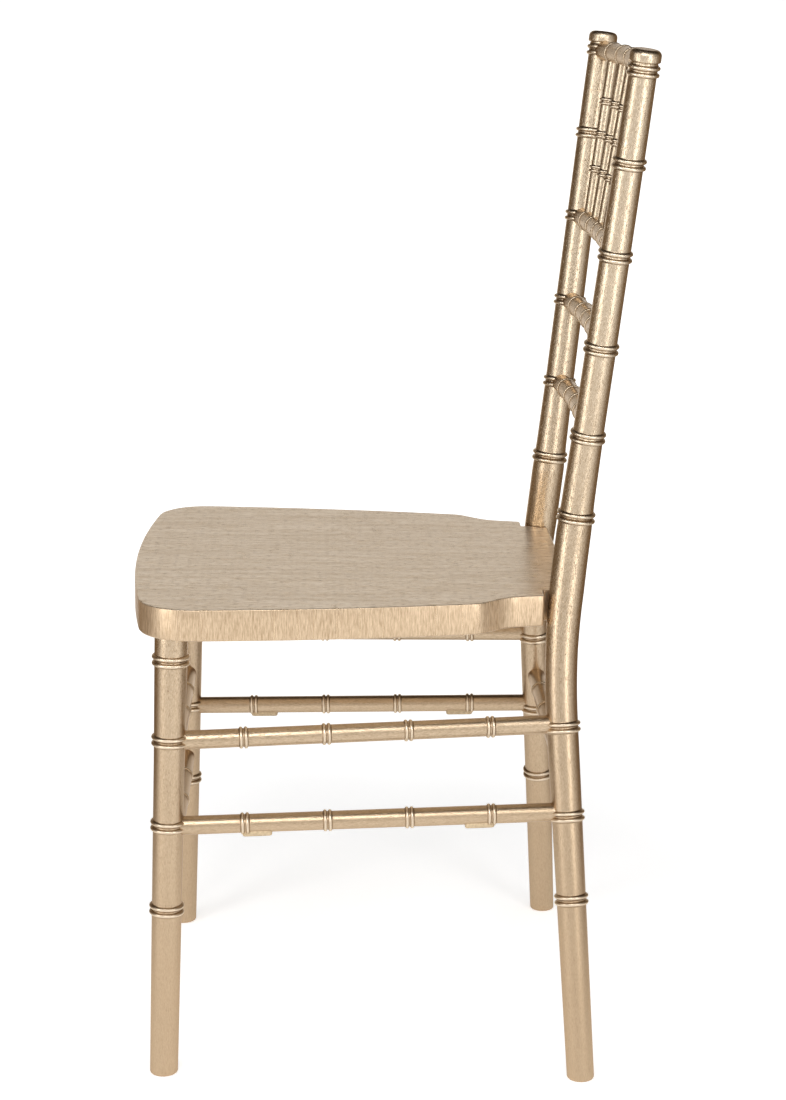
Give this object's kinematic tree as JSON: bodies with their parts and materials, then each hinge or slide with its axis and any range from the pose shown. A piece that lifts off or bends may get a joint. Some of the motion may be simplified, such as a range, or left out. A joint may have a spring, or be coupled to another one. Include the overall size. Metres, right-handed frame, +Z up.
{
  "type": "chiavari chair",
  "caption": "Wooden dining chair of round turned sticks with a shaped seat panel, bowed back rails, a row of spindles under the top rail and stretchers between the legs.",
  "frame": {"origin": "on the floor, in the middle of the chair's outer box", "axes": "+Z up, the sitter faces -Y, the sitter's left side is +X"},
  "size_m": [0.4384, 0.4673, 0.9125],
  "materials": {
    "gold_wood": "champagne-gold metallic lacquer on wood, satin",
    "seat_wood": "champagne-gold metallic lacquer on wood with fine grain, satin",
    "bumper": "matt tan plastic"
  },
  "bodies": {
    "root": {"left_front_bumper": "bumper", "left_front_leg": "gold_wood", "left_lower_side_stretcher": "gold_wood", "left_rear_bumper": "bumper", "left_rear_post": "gold_wood", "left_upper_side_stretcher": "gold_wood", "lower_front_stretcher": "gold_wood", "lower_rail": "gold_wood", "middle_rail": "gold_wood", "rear_stretcher": "gold_wood", "right_front_bumper": "bumper", "right_front_leg": "gold_wood", "right_lower_side_stretcher": "gold_wood", "right_rear_bumper": "bumper", "right_rear_post": "gold_wood", "right_upper_side_stretcher": "gold_wood", "seat": "seat_wood", "spindle_1": "gold_wood", "spindle_2": "gold_wood", "spindle_3": "gold_wood", "spindle_4": "gold_wood", "spindle_5": "gold_wood", "spindle_6": "gold_wood", "spindle_rail": "gold_wood", "top_rail": "gold_wood", "upper_front_stretcher": "gold_wood"}
  },
  "joints": []
}
